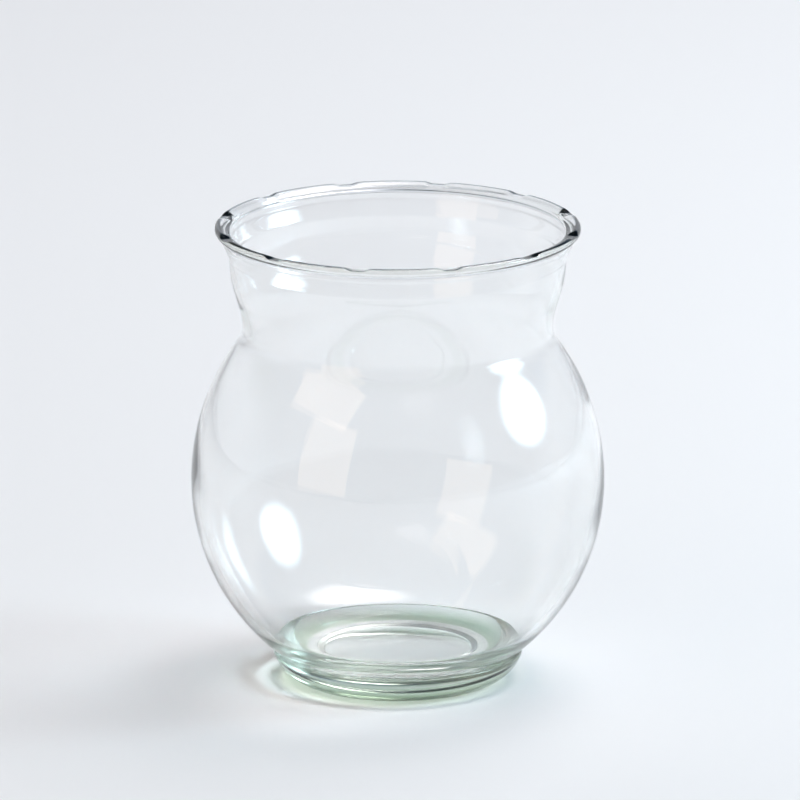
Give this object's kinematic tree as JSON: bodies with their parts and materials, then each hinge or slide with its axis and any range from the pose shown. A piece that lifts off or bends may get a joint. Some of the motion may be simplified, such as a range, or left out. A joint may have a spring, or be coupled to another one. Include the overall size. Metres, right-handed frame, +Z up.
{
  "type": "rose bowl vase",
  "caption": "Clear glass rose bowl vase: round bowl on a low foot ring, wide waisted neck and a beaded, scalloped rim that holds cut flowers upright.",
  "frame": {"origin": "middle of the standing face under the foot ring", "axes": "+Z up along the vase's axis of turning; -Y towards the side that the picture shows"},
  "size_m": [0.14, 0.14, 0.1578],
  "materials": {
    "glass": "clear, smooth and glossy, with a faint green tint where the glass is thick"
  },
  "bodies": {
    "root": {"foot_ring": "glass", "bowl_base": "glass", "bowl_body": "glass", "shoulder": "glass", "neck": "glass", "scalloped_rim": "glass"}
  },
  "joints": []
}
